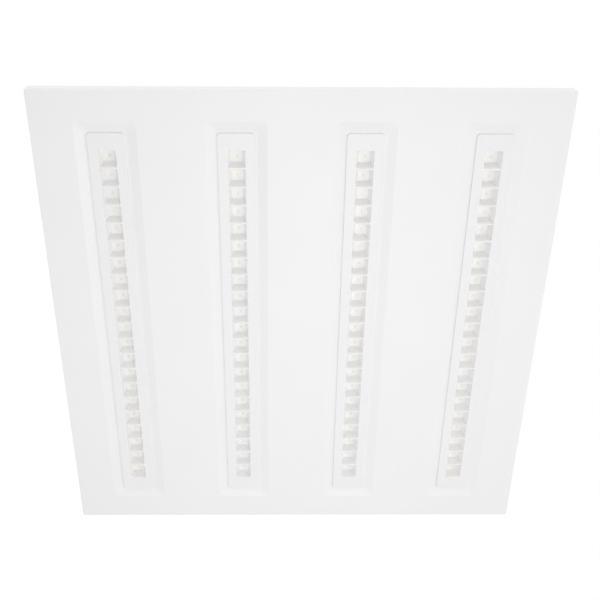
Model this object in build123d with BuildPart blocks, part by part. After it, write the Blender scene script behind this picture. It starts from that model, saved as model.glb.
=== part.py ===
# Square lay-in ceiling light for a 600 mm grid: a pressed steel face with four long louvres, one LED
# behind every louvre cell, a back plate, and a driver with a hinged terminal box on the back.
# Millimetres. The face looks down and lies in the plane Z = 0, the louvres run along Y.
import os
from math import atan2, cos, radians, tan

from build123d import *

os.makedirs("parts", exist_ok=True)

# Face tray and back plate
module_size = 595.0  # side of the square face
module_corner = 2.0  # plan radius of the tray's corners
sheet = 0.6  # painted steel of the tray and of the back plate
edge_bend = 1.5  # outside radius of the bend from face to skirt
return_width = 14.0  # flange turned in at the top of the skirt
plate_gap = 1.0  # the back plate's edge lies this far inside the skirt's outside
bead_width = 16.0  # stiffening beads pressed into the back plate
bead_end = 67.5  # from the module's edge to the end of a bead
bead_height = 2.0
bead_slope = 45.0  # degrees that a bead's sides lean in

# Louvres
strip_count = 4
strip_edge = 82.25  # middle of the outer strips from the module's edge
cell_pitch = 22.0
cell_width = 20.0  # across the strip, at the exit
blade_edge = 1.5  # thickness of a blade at the exit
cell_draft = 17.0  # degrees that each cell wall leans in
louvre_depth = 11.5
louvre_wall = 1.0
frame_width = 42.5
frame_end = 48.0  # from the module's edge to the end of a frame
frame_thickness = 2.1
frame_land = 16.0  # least flat end of a frame past its cells
frame_corner = 4.0
frame_edge = 0.6  # rounding of the frame's lower edge
frame_inset = 0.7  # the frame lies this far behind the plane of the face
collar_height = 4.0  # collar that passes through the sheet
collar_fit = 0.3  # room between collar and sheet
hook_count = 5  # snap hooks on each side of a collar
hook_step = 4  # cells from one hook to the next
hook_length = 10.0
hook_reach = 1.1
hook_rise = 2.6
hook_gap = 0.1  # room between hook and sheet

# Pressed recess round each louvre
recess_flank = 11.0  # plan width of the sloping flank
recess_margin = 2.25  # flat floor left showing round the frame
recess_corner = 8.0  # plan radius at the face
press_bend = 6.0  # inside radius where the sheet is bent
hair = 0.01  # slack for finding edges at a level

# LED boards
board_width = 20.0
board_thickness = 1.4
board_overhang = 15.0  # length past the louvre's collar at each end
board_corner = 1.5
led_width = 2.8
led_length = 3.5
led_height = 0.7
board_screw_first = 3  # cell after which the first board screw stands
board_screw_step = 5  # cells from one board screw to the next
connector_width = 12.0
connector_length = 9.0
connector_height = 4.2
connector_inset = 1.0  # from the board's end
connector_edge = 0.6

# Leads
wire = 1.5  # diameter over the insulation
wire_gap = 1.8  # between the two wires of a lead, centre to centre
port_offset = 3.2  # a lead's place on a connector, from its middle
lane_reach = 18.0  # from a connector to the lane in which leads cross
lead_bend = 8.0
outlet_bend = 5.0  # where the feed lead turns down into the outlet and out of it
feed_clip_parts = (0.25, 0.55, 0.85)  # places of its clips along the feed lead's straight run
clip_length = 8.0
clip_wall = 1.6
clip_fit = 0.15

# Screws
screw_fit = 0.1  # radial room of every screw in its hole
board_screw = 2.5
rim_screw = 3.0
rim_screw_end = 72.5  # outer rim screws from the module's edge
rim_screw_count = 4
rim_screw_inset = 7.5
hanger_screw = 4.0
case_screw = 4.0
cover_screw = 3.0
head_ratio = 1.85  # head diameter over shank diameter
head_height_ratio = 0.6
head_chamfer_ratio = 0.2
screw_grip = 2.6  # length of a screw past the sheet that it holds
cover_grip = 9.0  # length of a cover screw in its pillar

# Hanger brackets
hanger_inset_x = 45.0  # middle of the riser from the module's edge
hanger_inset_y = 75.0
hanger_width = 26.0
hanger_foot = 18.0
hanger_tab = 20.0
hanger_rise = 11.0  # clear height under the tab
hanger_strap = 1.5
hanger_bend = 2.25  # radius at the middle of the strap
hanger_hole = 6.0
hanger_screw_pitch = 12.0

# Driver case
driver_length = 170.0
case_width = 70.0
case_wall = 2.0
head_room = 1.2  # under the cover, over the tallest piece of the circuit
case_corner = 4.0
cover_thickness = 2.0
cover_edge = 1.0
ear_reach = 11.0
ear_width = 14.0
ear_thickness = 3.0
ear_pitch = 110.0
pillar = 7.0  # diameter of the cover screws' pillars
pillar_sink = 1.0  # how far a pillar runs into the walls beside it
standoff = 6.0
standoff_height = 4.0

# Driver circuit
circuit_thickness = 1.6
circuit_side_room = 3.0  # between the circuit board and the case's side walls
circuit_end_room = 10.0  # from the case's inner end, at the mains side, to the circuit board
circuit_outlet_room = 18.0  # the same at the outlet side
circuit_screw_inset = 5.0
core_width = 32.0
core_length = 26.0
core_height = 9.0
core_leg = 8.0
core_yoke = 5.0
coil_wall = 4.8
coil_fit = 0.3
choke_diameter = 20.0
choke_bore = 9.0
choke_height = 9.0
choke_round = 2.0
choke_x = -14.0
choke_step = -36.0  # steps are taken along the case from the middle of the circuit board
bulk_diameter = 16.0
bulk_height = 19.0
bulk_x = 14.0
bulk_step = -24.0
output_diameter = 12.5
output_height = 18.0
output_x = -14.0
output_step = 30.0
can_round = 1.0
film_width = 18.0
film_length = 9.0
film_height = 15.0
film_x = 14.0
film_step = -48.0
sink_length = 40.0
sink_height = 17.0
sink_plate = 2.0
sink_foot = 9.0
sink_side_room = 2.0  # from the circuit board's side and end
sink_end_room = 15.0
header_width = 18.0
header_length = 9.0
header_height = 9.0
header_inset = 2.0  # from the circuit board's end

# Terminal box
box_length = 64.0
hinge_back = 5.5  # hinge axis from the driver's end of the box
hinge_pin = 3.0
hinge_fit = 0.08
barrel = 5.0  # diameter of the lid's hinge barrel
knuckle = 7.0  # diameter of the box's knuckles
knuckle_width = 6.0
knuckle_drop = 8.0  # from the hinge axis down the box's side wall
knuckle_gap = 0.4
lid_thickness = 2.0
lid_lip = 3.0  # finger lip past the box's end
lid_rib = 1.2
lid_rib_depth = 3.0
lid_rib_gap = 0.6
block_side_room = 7.0  # from the block's lugs to the box's inner walls
block_length = 20.0
block_height = 15.0
block_back = 9.0  # from the block to the box's inner end at the driver
block_lug = 8.0
block_lug_thickness = 3.0
poles = ("live", "neutral", "earth")
pole_pitch = 11.0
pole_bore = 4.4
pole_bore_depth = 9.0
pole_height = 5.0  # of the wire holes above the block's foot
button_width = 5.0
button_length = 5.0
button_height = 8.0
button_proud = 2.5
button_travel = 1.5
button_gap = 0.3
button_edge = 0.5
bush_bore = 9.0
bush_neck = 14.0
bush_flange = 18.0
bush_lip = 2.0
bush_fit = 0.1
bush_height = 14.0  # axis of the cable entry above the back plate
outlet_bore = 7.0
outlet_neck = 9.0
outlet_flange = 11.5
outlet_lip = 1.5
outlet_end_room = 7.5  # outlet's axis from the driver case's inner end
mains_wire = 1.8
mains_fit = 0.4
earth_side_room = 5.0  # earth screw from the box's inner side wall
earth_back = 40.0  # earth screw from the terminal box's inner end at the driver
earth_ring = 9.0
earth_tag_thickness = 0.8
earth_barrel = 3.6
earth_barrel_length = 7.0
earth_lane = 6.0  # from the terminal block to the run in which the earth lead crosses
earth_bend = 5.5

# Levels, from the face upwards
recess_depth = frame_inset + frame_thickness
floor_top = recess_depth + sheet
board_bottom = frame_inset + louvre_depth
board_top = board_bottom + board_thickness
skirt_height = board_top
plate_top = skirt_height + sheet
case_floor = plate_top + case_wall
circuit_bottom = case_floor + standoff_height
circuit_top = circuit_bottom + circuit_thickness
coil_height = core_height + 2 * (coil_fit + coil_wall)
case_top = circuit_top + max(coil_height, bulk_height, output_height, film_height, sink_height) + head_room
case_height = case_top - plate_top
port_level = board_bottom - connector_height / 2

# Plan sizes that follow
strip_pitch = (module_size - 2 * strip_edge) / (strip_count - 1)
strip_places = [(i - (strip_count - 1) / 2) * strip_pitch for i in range(strip_count)]
frame_length = module_size - 2 * frame_end
cell_count = int((frame_length - 2 * frame_land) // cell_pitch)
cell_length = cell_pitch - blade_edge
hook_pitch = hook_step * cell_pitch
draft_slope = tan(radians(cell_draft))
wall_plan = louvre_wall / cos(radians(cell_draft))
funnel_width = cell_width + 2 * (wall_plan - frame_thickness * draft_slope)
funnel_length = cell_length + 2 * (wall_plan - frame_thickness * draft_slope)
collar_width = cell_width + 2 * louvre_wall
collar_length = cell_count * cell_pitch - blade_edge + 2 * louvre_wall
floor_width = frame_width + 2 * recess_margin
floor_length = frame_length + 2 * recess_margin
mouth_width = floor_width + 2 * recess_flank
mouth_length = floor_length + 2 * recess_flank
skin_shift = 2 * sheet * tan(atan2(recess_depth, recess_flank) / 2)
press_reach_x = strip_places[-1] + mouth_width / 2 + skin_shift
press_reach_y = mouth_length / 2 + skin_shift
bead_length = module_size - 2 * bead_end
bead_shift = 2 * sheet * tan(radians(90 - bead_slope) / 2)
board_length = collar_length + 2 * board_overhang
board_screw_places = [
    (k - cell_count / 2) * cell_pitch for k in range(board_screw_first, cell_count, board_screw_step)
]
connector_place = board_length / 2 - connector_inset - connector_length / 2
connector_face = board_length / 2 - connector_inset
lane = connector_face + lane_reach
rim_line = module_size / 2 - rim_screw_inset
rim_screw_pitch = (module_size - 2 * rim_screw_end) / (rim_screw_count - 1)
hanger_x = module_size / 2 - hanger_inset_x
hanger_y = module_size / 2 - hanger_inset_y
hanger_hole_x = hanger_x + hanger_tab / 2
plate_size = module_size - 2 * plate_gap
unit_length = driver_length + box_length
box_start = -unit_length / 2
driver_start = box_start + box_length
driver_end = driver_start + driver_length
driver_middle = (driver_start + driver_end) / 2
box_middle = (box_start + driver_start) / 2
pillar_x = (case_width - pillar) / 2 - case_wall + pillar_sink
pillar_y = (driver_length - pillar) / 2 - case_wall + pillar_sink
ear_x = case_width / 2 + ear_reach - ear_width / 2
circuit_width = case_width - 2 * (case_wall + circuit_side_room)
circuit_length = driver_length - 2 * case_wall - circuit_end_room - circuit_outlet_room
circuit_middle = driver_start + case_wall + circuit_end_room + circuit_length / 2
circuit_screw_x = circuit_width / 2 - circuit_screw_inset
circuit_screw_y = circuit_length / 2 - circuit_screw_inset
circuit_start = circuit_middle - circuit_length / 2
circuit_end = circuit_middle + circuit_length / 2
input_header_start = circuit_start + header_inset
output_header_end = circuit_end - header_inset
choke_y = circuit_middle + choke_step
bulk_y = circuit_middle + bulk_step
output_y = circuit_middle + output_step
film_y = circuit_middle + film_step
sink_x = circuit_width / 2 - sink_side_room
sink_y = circuit_end - sink_end_room - sink_length / 2
outlet_y = driver_end - case_wall - outlet_end_room
hinge_y = driver_start - hinge_back
hinge_z = case_top + lid_thickness / 2
barrel_half = case_width / 2 - knuckle_width - knuckle_gap
block_width = case_width - 2 * (case_wall + block_side_room + block_lug)
block_end = driver_start - case_wall - block_back
block_middle = block_end - block_length / 2
block_top = case_floor + block_height
pole_level = case_floor + pole_height
button_bottom = block_top + button_proud - button_height
slot_depth = button_height - button_proud + button_travel + button_gap
pole_places = [(i - (len(poles) - 1) / 2) * pole_pitch for i in range(len(poles))]
mains_places = pole_places[:2]
bush_level = plate_top + bush_height
earth_x = case_width / 2 - case_wall - earth_side_room
earth_y = driver_start - case_wall - earth_back
earth_level = case_floor + earth_barrel / 2
earth_barrel_end = earth_y + earth_ring / 2 + earth_barrel_length
lug_x = block_width / 2 + block_lug / 2
header_level = circuit_top + header_height / 2

# Every screw's shank is cut through the sheets in these places
rim_places = [
    (sign * rim_line, (i - (rim_screw_count - 1) / 2) * rim_screw_pitch)
    for sign in (-1, 1)
    for i in range(rim_screw_count)
]
rim_places = rim_places + [(y, x) for x, y in rim_places]
board_screw_points = [(x, y) for x in strip_places for y in board_screw_places]
hanger_screw_points = [
    (side_x * (hanger_x - hanger_foot / 2), side_y * hanger_y + step * hanger_screw_pitch / 2)
    for side_x in (-1, 1)
    for side_y in (-1, 1)
    for step in (-1, 1)
]
driver_ear_points = [
    (side * ear_x, driver_middle + step * ear_pitch / 2) for side in (-1, 1) for step in (-1, 1)
]
box_ear_points = [(side * ear_x, box_middle) for side in (-1, 1)]
cover_points = [
    (side * pillar_x, driver_middle + step * pillar_y) for side in (-1, 1) for step in (-1, 1)
]
circuit_points = [
    (side * circuit_screw_x, circuit_middle + step * circuit_screw_y)
    for side in (-1, 1)
    for step in (-1, 1)
]
lug_points = [(side * lug_x, block_middle) for side in (-1, 1)]
earth_points = [(earth_x, earth_y)]


def keep(part, name):
    """Labels a finished piece and writes it."""
    part.label = name
    export_step(part, f"parts/{name}.step")


def punch(points, diameter, level, depth):
    """Cuts round holes for screws upwards from a level."""
    with BuildSketch(Plane.XY.offset(level)) as holes:
        with Locations(*points):
            Circle(diameter / 2 + screw_fit)
    extrude(holes.sketch, amount=depth, mode=Mode.SUBTRACT)


def screws(points, diameter, seat, tip):
    """Makes pan head screws whose heads sit at one level and whose tips end at another."""
    out = 1 if seat > tip else -1
    with BuildPart() as group:
        with BuildSketch(Plane.XY.offset(seat)):
            with Locations(*points):
                Circle(head_ratio * diameter / 2)
        extrude(amount=out * head_height_ratio * diameter)
        with BuildSketch(Plane.XY.offset(seat)):
            with Locations(*points):
                Circle(diameter / 2)
        extrude(amount=tip - seat)
        crown = group.edges().group_by(Axis.Z)[-1 if out > 0 else 0]
        chamfer(crown, length=head_chamfer_ratio * diameter)
    return group.part


def lead(routes, diameter, radius):
    """Makes wires along routes of straight runs with one bend radius."""
    with BuildPart() as wires:
        for route in routes:
            with BuildLine():
                path = FilletPolyline(*route, radius=radius)
            with BuildSketch(Plane(origin=path @ 0, z_dir=path % 0)):
                Circle(diameter / 2)
            sweep()
    return wires.part


# Face plate: pressed sheet with a skirt turned up round it and a flange turned in at the top
with BuildPart() as face_plate:
    with BuildSketch():
        RectangleRounded(module_size, module_size, module_corner)
    extrude(amount=skirt_height)
    fillet(face_plate.edges().group_by(Axis.Z)[0], radius=edge_bend)
    offset(amount=-sheet, openings=face_plate.faces().sort_by(Axis.Z)[-1])
    with BuildSketch(Plane.XY.offset(skirt_height - sheet)):
        RectangleRounded(module_size, module_size, module_corner)
        Rectangle(module_size - 2 * return_width, module_size - 2 * return_width, mode=Mode.SUBTRACT)
    extrude(amount=sheet)
    for x in strip_places:
        with BuildSketch(Plane.XY.offset(sheet)):
            with Locations((x, 0)):
                RectangleRounded(mouth_width + skin_shift, mouth_length + skin_shift, recess_corner)
        with BuildSketch(Plane.XY.offset(floor_top)):
            with Locations((x, 0)):
                RectangleRounded(
                    floor_width + skin_shift, floor_length + skin_shift, frame_corner + recess_margin
                )
        loft(ruled=True)
        with BuildSketch():
            with Locations((x, 0)):
                RectangleRounded(mouth_width, mouth_length, recess_corner)
        with BuildSketch(Plane.XY.offset(recess_depth)):
            with Locations((x, 0)):
                RectangleRounded(floor_width, floor_length, frame_corner + recess_margin)
        loft(ruled=True, mode=Mode.SUBTRACT)
    for level, bend in (
        (0, press_bend + sheet),
        (sheet, press_bend),
        (recess_depth, press_bend),
        (floor_top, press_bend + sheet),
    ):
        at_level = face_plate.edges().filter_by_position(Axis.Z, level - hair, level + hair)
        in_width = at_level.filter_by_position(Axis.X, -press_reach_x, press_reach_x)
        fillet(in_width.filter_by_position(Axis.Y, -press_reach_y, press_reach_y), radius=bend)
    with BuildSketch(Plane.XY.offset(recess_depth)):
        with GridLocations(strip_pitch, 0, strip_count, 1):
            Rectangle(collar_width + 2 * collar_fit, collar_length + 2 * collar_fit)
    extrude(amount=sheet, mode=Mode.SUBTRACT)
    punch(rim_places, rim_screw, skirt_height - sheet, sheet)
keep(face_plate.part, "face_plate")

# Louvre: a flat frame, a collar that snaps through the sheet, and a row of thin tapered funnels
with BuildPart() as louvre:
    with BuildSketch(Plane.XY.offset(frame_inset)):
        RectangleRounded(frame_width, frame_length, frame_corner)
    extrude(amount=frame_thickness)
    fillet(louvre.edges().group_by(Axis.Z)[0], radius=frame_edge)
    with BuildSketch(Plane.XY.offset(recess_depth)):
        Rectangle(collar_width, collar_length)
        Rectangle(collar_width - 2 * louvre_wall, collar_length - 2 * louvre_wall, mode=Mode.SUBTRACT)
    extrude(amount=collar_height)
    with BuildSketch(Plane.XY.offset(recess_depth)):
        with GridLocations(0, cell_pitch, 1, cell_count):
            Rectangle(funnel_width, funnel_length)
    extrude(amount=louvre_depth - frame_thickness, taper=cell_draft)
    with BuildSketch(Plane.XY.offset(frame_inset)):
        with GridLocations(0, cell_pitch, 1, cell_count):
            Rectangle(cell_width, cell_length)
    extrude(amount=louvre_depth, taper=cell_draft, mode=Mode.SUBTRACT)
    for i in range(hook_count):
        hook_place = (i - (hook_count - 1) / 2) * hook_pitch
        with BuildSketch(Plane.XZ.offset(-hook_place)):
            with BuildLine():
                Polyline(
                    (collar_width / 2, floor_top + hook_gap),
                    (collar_width / 2 + hook_reach, floor_top + hook_gap),
                    (collar_width / 2, floor_top + hook_gap + hook_rise),
                    close=True,
                )
            make_face()
            mirror(about=Plane.YZ)
        extrude(amount=hook_length / 2, both=True)
for number, x in enumerate(strip_places, 1):
    with BuildPart() as louvre_copy:
        with Locations((x, 0, 0)):
            add(louvre.part)
    keep(louvre_copy.part, f"louvre_{number}")

# LED boards: metal-cored strips screwed up against the back plate
for number, x in enumerate(strip_places, 1):
    with BuildPart() as led_board:
        with BuildSketch(Plane.XY.offset(board_bottom)):
            with Locations((x, 0)):
                RectangleRounded(board_width, board_length, board_corner)
        extrude(amount=board_thickness)
        punch([(x, y) for y in board_screw_places], board_screw, board_bottom, board_thickness)
    keep(led_board.part, f"led_board_{number}")

# LEDs: one package over the middle of each cell
for number, x in enumerate(strip_places, 1):
    with BuildPart() as led_row:
        with BuildSketch(Plane.XY.offset(board_bottom)):
            with Locations((x, 0)):
                with GridLocations(0, cell_pitch, 1, cell_count):
                    Rectangle(led_width, led_length)
        extrude(amount=-led_height)
    keep(led_row.part, f"led_row_{number}")

# Push-in connectors at both ends of each board
with BuildPart() as board_connectors:
    with BuildSketch(Plane.XY.offset(board_bottom)):
        with GridLocations(strip_pitch, 2 * connector_place, strip_count, 2):
            Rectangle(connector_width, connector_length)
    extrude(amount=-connector_height)
    chamfer(board_connectors.edges().group_by(Axis.Z)[0], length=connector_edge)
keep(board_connectors.part, "board_connectors")

# Back plate: flat sheet on the tray's flange, with two pressed beads and its screw holes
with BuildPart() as back_plate:
    with BuildSketch(Plane.XY.offset(skirt_height)):
        RectangleRounded(plate_size, plate_size, module_corner)
    extrude(amount=sheet)
    with BuildSketch(Plane.XY.offset(plate_top)):
        with GridLocations(2 * strip_pitch, 0, 2, 1):
            SlotOverall(bead_length, bead_width, rotation=90)
    extrude(amount=bead_height, taper=bead_slope)
    with BuildSketch(Plane.XY.offset(skirt_height)):
        with GridLocations(2 * strip_pitch, 0, 2, 1):
            SlotOverall(bead_length - bead_shift, bead_width - bead_shift, rotation=90)
    extrude(amount=bead_height, taper=bead_slope, mode=Mode.SUBTRACT)
    punch(rim_places, rim_screw, skirt_height, sheet)
    punch(board_screw_points, board_screw, skirt_height, sheet)
    punch(hanger_screw_points, hanger_screw, skirt_height, sheet)
    punch(driver_ear_points + box_ear_points + earth_points, case_screw, skirt_height, sheet)
    punch(lug_points, cover_screw, skirt_height, sheet)
    punch([(0, outlet_y)], outlet_neck, skirt_height, sheet)
keep(back_plate.part, "back_plate")

# Screws of the boards, with their heads on the LED side, and of the back plate's rim
keep(screws(board_screw_points, board_screw, board_bottom, plate_top), "board_screws")
keep(screws(rim_places, rim_screw, plate_top, skirt_height - sheet - screw_grip), "rim_screws")

# Leads from board to board at the near end, each a pair of wires in two connectors
for number in range(1, strip_count):
    left = strip_places[number - 1] + port_offset
    right = strip_places[number] - port_offset
    routes = [
        [
            (left + step, -connector_face, port_level),
            (left + step, step - lane, port_level),
            (right - step, step - lane, port_level),
            (right - step, -connector_face, port_level),
        ]
        for step in (-wire_gap / 2, wire_gap / 2)
    ]
    keep(lead(routes, wire, lead_bend), f"jumper_lead_{number}")

# Feed lead: from the driver's output header down through the outlet and on to the third board
feed_x = strip_places[strip_count // 2] - port_offset
feed_routes = [
    [
        (step, output_header_end, header_level),
        (step, outlet_y, header_level),
        (step, outlet_y, port_level),
        (step, lane - step, port_level),
        (feed_x - step, lane - step, port_level),
        (feed_x - step, connector_face, port_level),
    ]
    for step in (-wire_gap / 2, wire_gap / 2)
]
feed_bends = [outlet_bend, outlet_bend, lead_bend, lead_bend]
keep(lead(feed_routes, wire, feed_bends), "feed_lead")

# Lead clips: saddles stuck under the back plate, open below
clip_top = skirt_height
clip_bottom = port_level - wire / 2
clip_slot = wire_gap + wire + 2 * clip_fit
clip_width = clip_slot + 2 * clip_wall
jumper_clips = [((a + b) / 2, -lane) for a, b in zip(strip_places, strip_places[1:])]
feed_clips = [(0, outlet_y + (lane - outlet_y) * part) for part in feed_clip_parts]
with BuildPart() as lead_clips:
    for points, turn in ((jumper_clips, 0), (feed_clips, 90)):
        with BuildSketch(Plane.XY.offset(clip_bottom)):
            with Locations(*points):
                Rectangle(clip_length, clip_width, rotation=turn)
        extrude(amount=clip_top - clip_bottom)
        with BuildSketch(Plane.XY.offset(clip_bottom)):
            with Locations(*points):
                Rectangle(clip_length, clip_slot, rotation=turn)
        extrude(amount=wire + clip_fit, mode=Mode.SUBTRACT)
keep(lead_clips.part, "lead_clips")

# Hanger brackets: steel straps bent to a raised tab with a hole for the suspension hook
for number, (side_x, side_y) in enumerate(((-1, -1), (1, -1), (-1, 1), (1, 1)), 1):
    with BuildPart() as hanger_bracket:
        with BuildSketch(Plane.XZ.offset(-side_y * hanger_y)):
            with BuildLine():
                FilletPolyline(
                    (side_x * (hanger_x - hanger_foot), plate_top + hanger_strap / 2),
                    (side_x * hanger_x, plate_top + hanger_strap / 2),
                    (side_x * hanger_x, plate_top + hanger_rise + hanger_strap / 2),
                    (side_x * (hanger_x + hanger_tab), plate_top + hanger_rise + hanger_strap / 2),
                    radius=hanger_bend,
                )
            trace(line_width=hanger_strap)
        extrude(amount=hanger_width / 2, both=True)
        with BuildSketch(Plane.XY.offset(plate_top + hanger_rise)):
            with Locations((side_x * hanger_hole_x, side_y * hanger_y)):
                Circle(hanger_hole / 2)
        extrude(amount=hanger_strap, mode=Mode.SUBTRACT)
        foot_points = [p for p in hanger_screw_points if p[0] * side_x > 0 and p[1] * side_y > 0]
        punch(foot_points, hanger_screw, plate_top, hanger_strap)
    keep(hanger_bracket.part, f"hanger_bracket_{number}")
keep(
    screws(hanger_screw_points, hanger_screw, plate_top + hanger_strap, skirt_height - screw_grip),
    "hanger_screws",
)

# Driver case: moulded tray with screw ears, pillars for the cover and standoffs for the circuit
with BuildPart() as driver_case:
    with BuildSketch(Plane.XY.offset(plate_top)):
        with Locations((0, driver_middle)):
            RectangleRounded(case_width, driver_length, case_corner)
    extrude(amount=case_height)
    offset(amount=-case_wall, openings=driver_case.faces().sort_by(Axis.Z)[-1])
    with BuildSketch(Plane.XY.offset(plate_top)):
        with Locations((0, driver_middle)):
            with GridLocations(0, ear_pitch, 1, 2):
                SlotOverall(case_width + 2 * ear_reach, ear_width)
            Rectangle(case_width - case_wall, driver_length - case_wall, mode=Mode.SUBTRACT)
    extrude(amount=ear_thickness)
    with BuildSketch(Plane.XY.offset(case_floor)):
        with Locations(*cover_points):
            Circle(pillar / 2)
    extrude(amount=case_height - case_wall)
    with BuildSketch(Plane.XY.offset(case_floor)):
        with Locations(*circuit_points):
            Circle(standoff / 2)
    extrude(amount=standoff_height)
    punch(driver_ear_points, case_screw, plate_top, ear_thickness)
    punch(cover_points, cover_screw, case_top - cover_grip, cover_grip)
    punch(circuit_points, cover_screw, case_floor, standoff_height)
    punch([(0, outlet_y)], outlet_neck, plate_top, case_wall)
    with BuildSketch(Plane.XZ.offset(-driver_start)):
        with Locations(*[(x, header_level) for x in mains_places]):
            Circle(mains_wire / 2 + mains_fit)
    extrude(amount=-case_wall, mode=Mode.SUBTRACT)
keep(driver_case.part, "driver_case")

# Driver cover: flat moulded lid, held by four screws
with BuildPart() as driver_cover:
    with BuildSketch(Plane.XY.offset(case_top)):
        with Locations((0, driver_middle)):
            RectangleRounded(case_width, driver_length, case_corner)
    extrude(amount=cover_thickness)
    fillet(driver_cover.edges().group_by(Axis.Z)[-1], radius=cover_edge)
    punch(cover_points, cover_screw, case_top, cover_thickness)
keep(driver_cover.part, "driver_cover")
keep(
    screws(cover_points, cover_screw, case_top + cover_thickness, case_top - cover_grip), "cover_screws"
)
keep(
    screws(
        driver_ear_points + box_ear_points,
        case_screw,
        plate_top + ear_thickness,
        skirt_height - screw_grip,
    ),
    "case_screws",
)

# Driver circuit board on its standoffs
with BuildPart() as driver_board:
    with BuildSketch(Plane.XY.offset(circuit_bottom)):
        with Locations((0, circuit_middle)):
            Rectangle(circuit_width, circuit_length)
    extrude(amount=circuit_thickness)
    punch(circuit_points, cover_screw, circuit_bottom, circuit_thickness)
keep(driver_board.part, "driver_board")
keep(screws(circuit_points, cover_screw, circuit_top, case_floor), "circuit_screws")

# Transformer: a ferrite core with a middle leg, and the coil wound round that leg
core_level = circuit_top + coil_wall + coil_fit
with BuildPart() as transformer_core:
    with BuildSketch(Plane.XY.offset(core_level)):
        with Locations((0, circuit_middle)):
            Rectangle(core_width, core_length)
            with GridLocations((core_width - 2 * core_yoke + core_leg) / 2, 0, 2, 1):
                Rectangle(
                    (core_width - 2 * core_yoke - core_leg) / 2,
                    core_length - 2 * core_yoke,
                    mode=Mode.SUBTRACT,
                )
    extrude(amount=core_height)
keep(transformer_core.part, "transformer_core")

with BuildPart() as transformer_coil:
    with BuildSketch(Plane.XZ.offset(-circuit_middle)):
        with Locations((0, core_level + core_height / 2)):
            RectangleRounded(
                core_leg + 2 * (coil_fit + coil_wall), coil_height, coil_wall / 2
            )
            Rectangle(core_leg + 2 * coil_fit, core_height + 2 * coil_fit, mode=Mode.SUBTRACT)
    extrude(amount=core_length / 2 - core_yoke - coil_fit, both=True)
keep(transformer_coil.part, "transformer_coil")

# Filter choke: a ring core with its winding, lying on the circuit board
with BuildPart() as filter_choke:
    with BuildSketch(Plane.XZ.offset(-choke_y)):
        with Locations((choke_x + (choke_diameter + choke_bore) / 4, circuit_top + choke_height / 2)):
            RectangleRounded((choke_diameter - choke_bore) / 2, choke_height, choke_round)
    revolve(axis=Axis((choke_x, choke_y, 0), (0, 0, 1)))
keep(filter_choke.part, "filter_choke")

# Capacitors: two round cans and a film block
for name, x, y, diameter, height in (
    ("bulk_capacitor", bulk_x, bulk_y, bulk_diameter, bulk_height),
    ("output_capacitor", output_x, output_y, output_diameter, output_height),
):
    with BuildPart() as capacitor:
        with BuildSketch(Plane.XY.offset(circuit_top)):
            with Locations((x, y)):
                Circle(diameter / 2)
        extrude(amount=height)
        fillet(capacitor.edges().group_by(Axis.Z)[-1], radius=can_round)
    keep(capacitor.part, name)

with BuildPart() as film_capacitor:
    with BuildSketch(Plane.XY.offset(circuit_top)):
        with Locations((film_x, film_y)):
            Rectangle(film_width, film_length)
    extrude(amount=film_height)
    fillet(film_capacitor.edges().filter_by(Axis.Z), radius=can_round)
keep(film_capacitor.part, "film_capacitor")

# Heat sink: an aluminium angle along one side of the circuit board
with BuildPart() as heat_sink:
    with BuildSketch(Plane.XZ.offset(-sink_y)):
        with BuildLine():
            Polyline(
                (sink_x, circuit_top),
                (sink_x - sink_foot, circuit_top),
                (sink_x - sink_foot, circuit_top + sink_plate),
                (sink_x - sink_plate, circuit_top + sink_plate),
                (sink_x - sink_plate, circuit_top + sink_height),
                (sink_x, circuit_top + sink_height),
                close=True,
            )
        make_face()
    extrude(amount=sink_length / 2, both=True)
keep(heat_sink.part, "heat_sink")

# Headers where the mains leads and the feed lead meet the circuit board
for name, x, y in (
    ("input_header", -pole_pitch / 2, input_header_start + header_length / 2),
    ("output_header", 0, output_header_end - header_length / 2),
):
    with BuildPart() as header:
        with BuildSketch(Plane.XY.offset(circuit_top)):
            with Locations((x, y)):
                Rectangle(header_width, header_length)
        extrude(amount=header_height)
        chamfer(header.edges().group_by(Axis.Z)[-1], length=connector_edge)
    keep(header.part, name)

# Outlet bush: a grommet through the case's floor and the back plate
with BuildPart() as outlet_bush:
    with BuildSketch(Plane.XZ.offset(-outlet_y)):
        with BuildLine():
            Polyline(
                (outlet_bore / 2, skirt_height - outlet_lip),
                (outlet_flange / 2, skirt_height - outlet_lip),
                (outlet_flange / 2, skirt_height),
                (outlet_neck / 2, skirt_height),
                (outlet_neck / 2, case_floor),
                (outlet_flange / 2, case_floor),
                (outlet_flange / 2, case_floor + outlet_lip),
                (outlet_bore / 2, case_floor + outlet_lip),
                close=True,
            )
        make_face()
    revolve(axis=Axis((0, outlet_y, 0), (0, 0, 1)))
keep(outlet_bush.part, "outlet_bush")

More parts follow.
